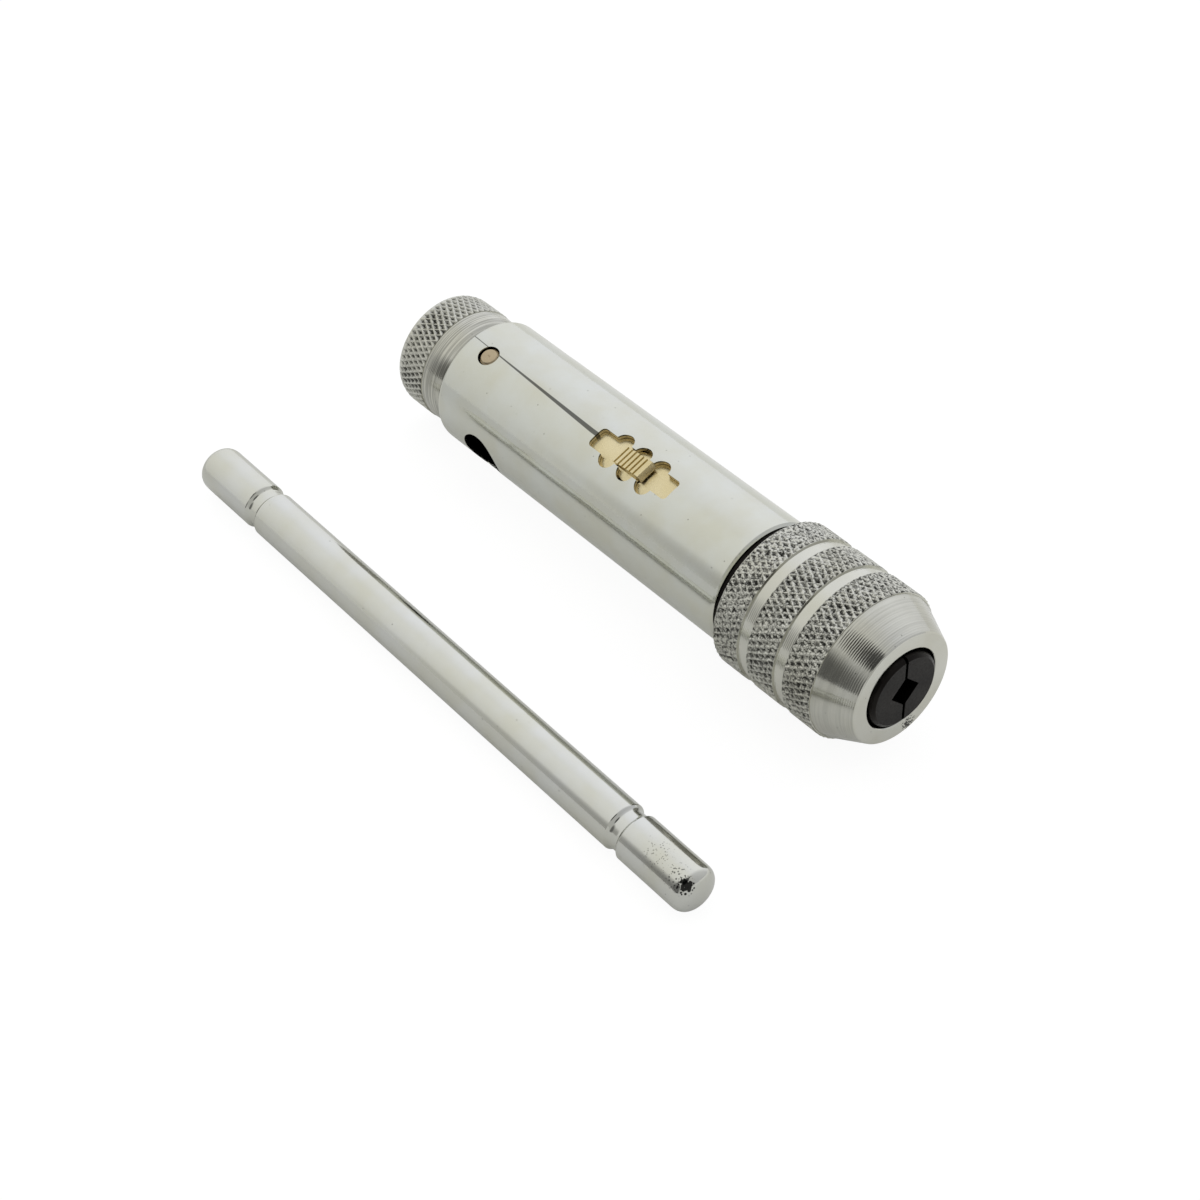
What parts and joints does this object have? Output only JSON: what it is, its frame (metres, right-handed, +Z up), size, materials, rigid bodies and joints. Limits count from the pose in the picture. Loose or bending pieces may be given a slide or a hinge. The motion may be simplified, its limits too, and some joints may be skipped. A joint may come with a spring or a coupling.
{
  "type": "t-handle tap wrench",
  "caption": "Ratcheting T-handle tap wrench: round body with selector, knurled two-jaw chuck, knurled end knob, and a loose grooved cross bar lying beside it.",
  "frame": {"origin": "on the table, under the middle of the whole part as it lies with its cross bar beside it", "axes": "+X along the body towards the nose, +Z up from the table"},
  "size_m": [0.0954, 0.0466, 0.0204],
  "materials": {
    "plated_body": "polished nickel plate",
    "plated_knob": "satin nickel plate, knurled",
    "plated_sleeve": "satin nickel plate, knurled",
    "plated_bar": "polished nickel plate",
    "brass": "satin",
    "spring_steel": "bright",
    "black_steel": "black oxide",
    "black_rubber": "matte"
  },
  "bodies": {
    "body": {"barrel": "plated_body", "end_knob": "plated_knob", "knob_pin": "brass", "detent_screw": "black_steel", "detent_spring": "spring_steel", "pawl_cage": "spring_steel", "pawl_pin": "spring_steel"},
    "catch_ball": {"detent_ball": "spring_steel"},
    "spindle": {"spindle": "black_steel", "thrust_washer": "black_steel", "rear_washer": "spring_steel", "circlip": "black_steel", "jaw_springs": "spring_steel"},
    "sleeve_ring": {"sleeve_ring": "black_rubber"},
    "sleeve": {"chuck_sleeve": "plated_sleeve"},
    "jaw_left": {"jaw_left": "black_steel"},
    "jaw_right": {"jaw_right": "black_steel"},
    "selector": {"selector_slide": "brass", "selector_spring": "spring_steel"},
    "button": {"selector_button": "brass"},
    "pawl": {"pawl_rocker": "spring_steel"},
    "cross_bar": {"cross_bar": "plated_bar"}
  },
  "joints": [
    {"name": "ratchet_spin", "type": "hinge", "parent": "body", "child": "spindle", "pos_m": [0.02069, 0.01333, 0.00995], "axis": [0.9997, 0, 0.0238], "continuous": true},
    {"name": "sleeve_travel", "type": "slide", "parent": "spindle", "child": "sleeve_ring", "axis": [0.9997, 0, 0.0238], "range_m": [-0.00069, 0.00483]},
    {"name": "sleeve_turn", "type": "hinge", "parent": "sleeve_ring", "child": "sleeve", "pos_m": [0.02239, 0.01333, 0.00999], "axis": [0.9997, 0, 0.0238], "range_deg": [-250, 1740]},
    {"name": "jaw_right_slide", "type": "slide", "parent": "spindle", "child": "jaw_right", "axis": [0, 1, 0], "range_m": [-0.00019, 0.0013]},
    {"name": "jaw_left_slide", "type": "slide", "parent": "spindle", "child": "jaw_left", "axis": [0, -1, 0], "range_m": [-0.00019, 0.0013]},
    {"name": "selector_shift", "type": "slide", "parent": "body", "child": "selector", "axis": [0.9997, 0, 0.0238], "range_m": [-0.00336, 0.00336]},
    {"name": "selector_press", "type": "slide", "parent": "selector", "child": "button", "axis": [0.0222, 0.3616, -0.9321], "range_m": [0, 0.00025], "stiffness_N_per_m": 400, "springref_m": -0.0005, "deforming": ["selector_spring"]},
    {"name": "pawl_rock", "type": "hinge", "parent": "body", "child": "pawl", "pos_m": [0.00009, 0.01161, 0.01389], "axis": [-0.0086, 0.9323, 0.3615], "range_deg": [-4.02, 4.02]},
    {"name": "catch_ball_slide", "type": "slide", "parent": "body", "child": "catch_ball", "axis": [0.9997, 0, 0.0238], "range_m": [0, 0.00035]},
    {"name": "bar_slide", "type": "slide", "parent": "body", "child": "cross_bar", "axis": [1, 0, 0], "range_m": [-0.0354, 0.0354]}
  ],
  "couplings": [
    {"joint": "sleeve_turn", "follows": "sleeve_travel", "rad_per_m": 6283.2},
    {"joint": "jaw_right_slide", "follows": "sleeve_travel", "ratio": 0.26795},
    {"joint": "jaw_left_slide", "follows": "sleeve_travel", "ratio": 0.26795},
    {"joint": "pawl_rock", "follows": "selector_shift", "rad_per_m": 20.778}
  ]
}
